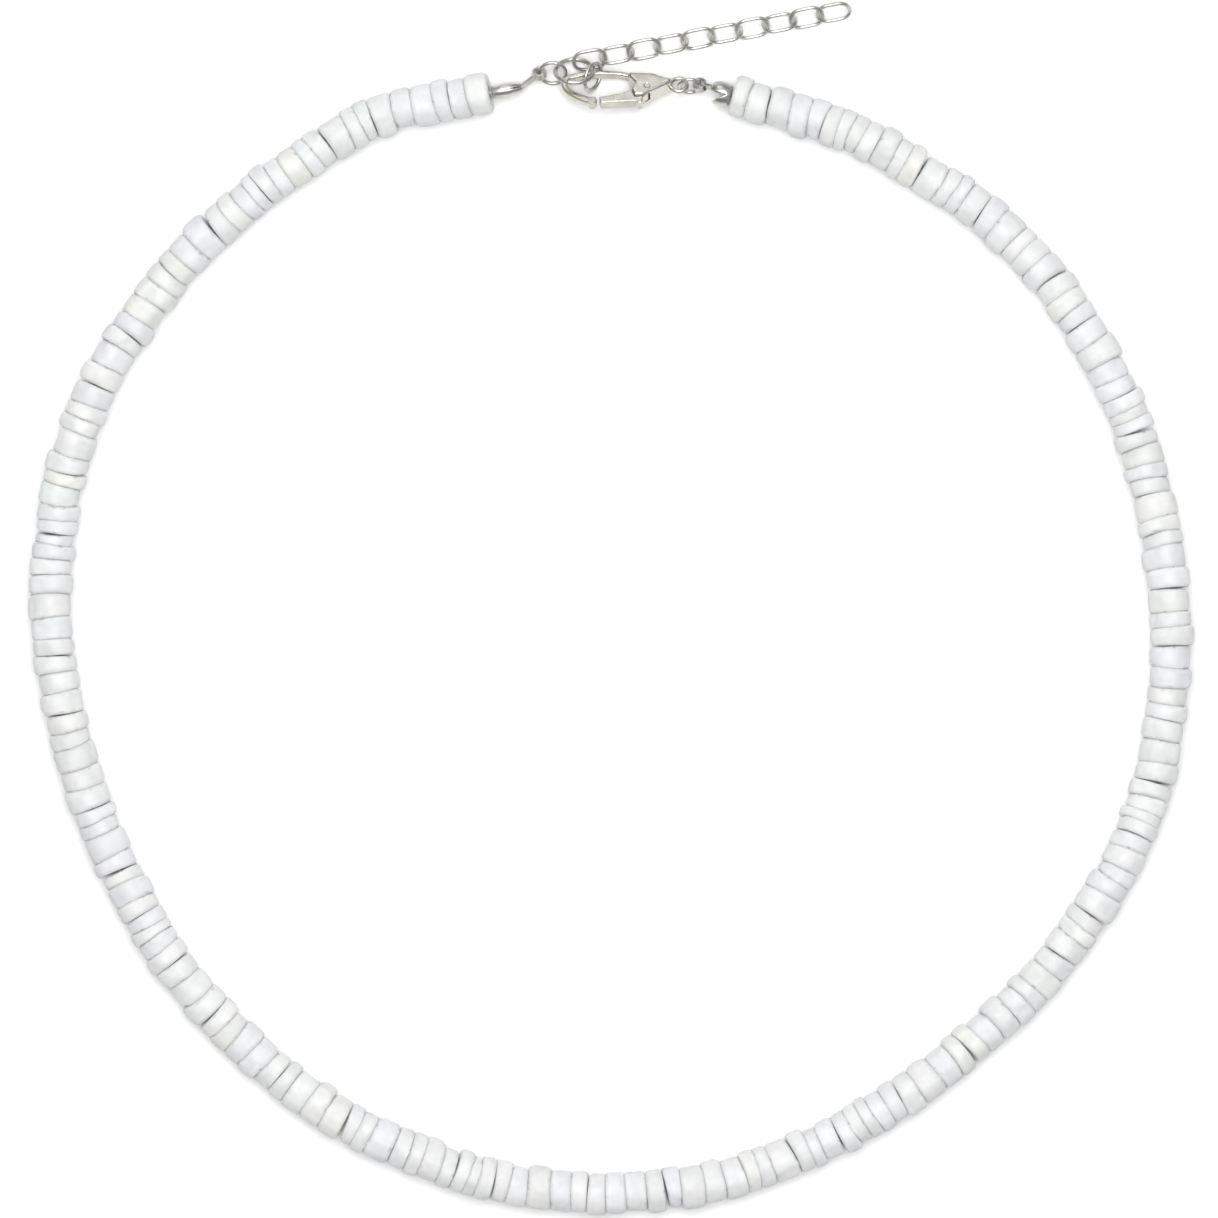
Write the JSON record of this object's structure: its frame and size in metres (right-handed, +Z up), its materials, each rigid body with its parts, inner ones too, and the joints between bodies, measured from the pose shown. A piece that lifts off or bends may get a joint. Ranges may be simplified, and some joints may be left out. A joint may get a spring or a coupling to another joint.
{
  "type": "shell necklace",
  "caption": "Round necklace of drilled white shell discs, closed by a lobster clasp with a sprung lever and a short oval-link extender chain.",
  "frame": {"origin": "middle of the bead loop, on the surface that the necklace lies on", "axes": "+Z up from the surface, +Y towards the clasp, +X to the right when seen from above"},
  "size_m": [0.1337, 0.1392, 0.0052],
  "materials": {
    "shell": "polished clam shell",
    "thread": "waxed beading thread",
    "chain_metal": "polished silver-tone plate",
    "clasp_metal": "polished nickel-silver plate"
  },
  "bodies": {
    "necklace": {"bead_strand_left": "shell", "bead_strand_right": "shell", "thread": "thread", "bead_tip_left": "chain_metal", "bead_tip_right": "chain_metal", "jump_ring_left": "chain_metal", "end_ring": "chain_metal", "clasp_hold_ring": "chain_metal", "jump_ring_right": "chain_metal", "extender_link_01": "chain_metal", "extender_link_02": "chain_metal", "extender_link_03": "chain_metal", "extender_link_04": "chain_metal", "extender_link_05": "chain_metal", "extender_link_06": "chain_metal", "extender_link_07": "chain_metal", "extender_link_08": "chain_metal", "extender_link_09": "chain_metal", "extender_link_10": "chain_metal", "clasp_body": "clasp_metal", "clasp_pivot_pin": "clasp_metal"},
    "clasp_lever": {"clasp_lever": "clasp_metal"}
  },
  "joints": [
    {"name": "lever_hinge", "type": "hinge", "parent": "necklace", "child": "clasp_lever", "pos_m": [0.00435, 0.06262, 0.00252], "axis": [0, -0.5736, -0.8192], "range_deg": [0, 16], "stiffness_Nm_per_rad": 0.01, "springref_deg": -28.65}
  ]
}
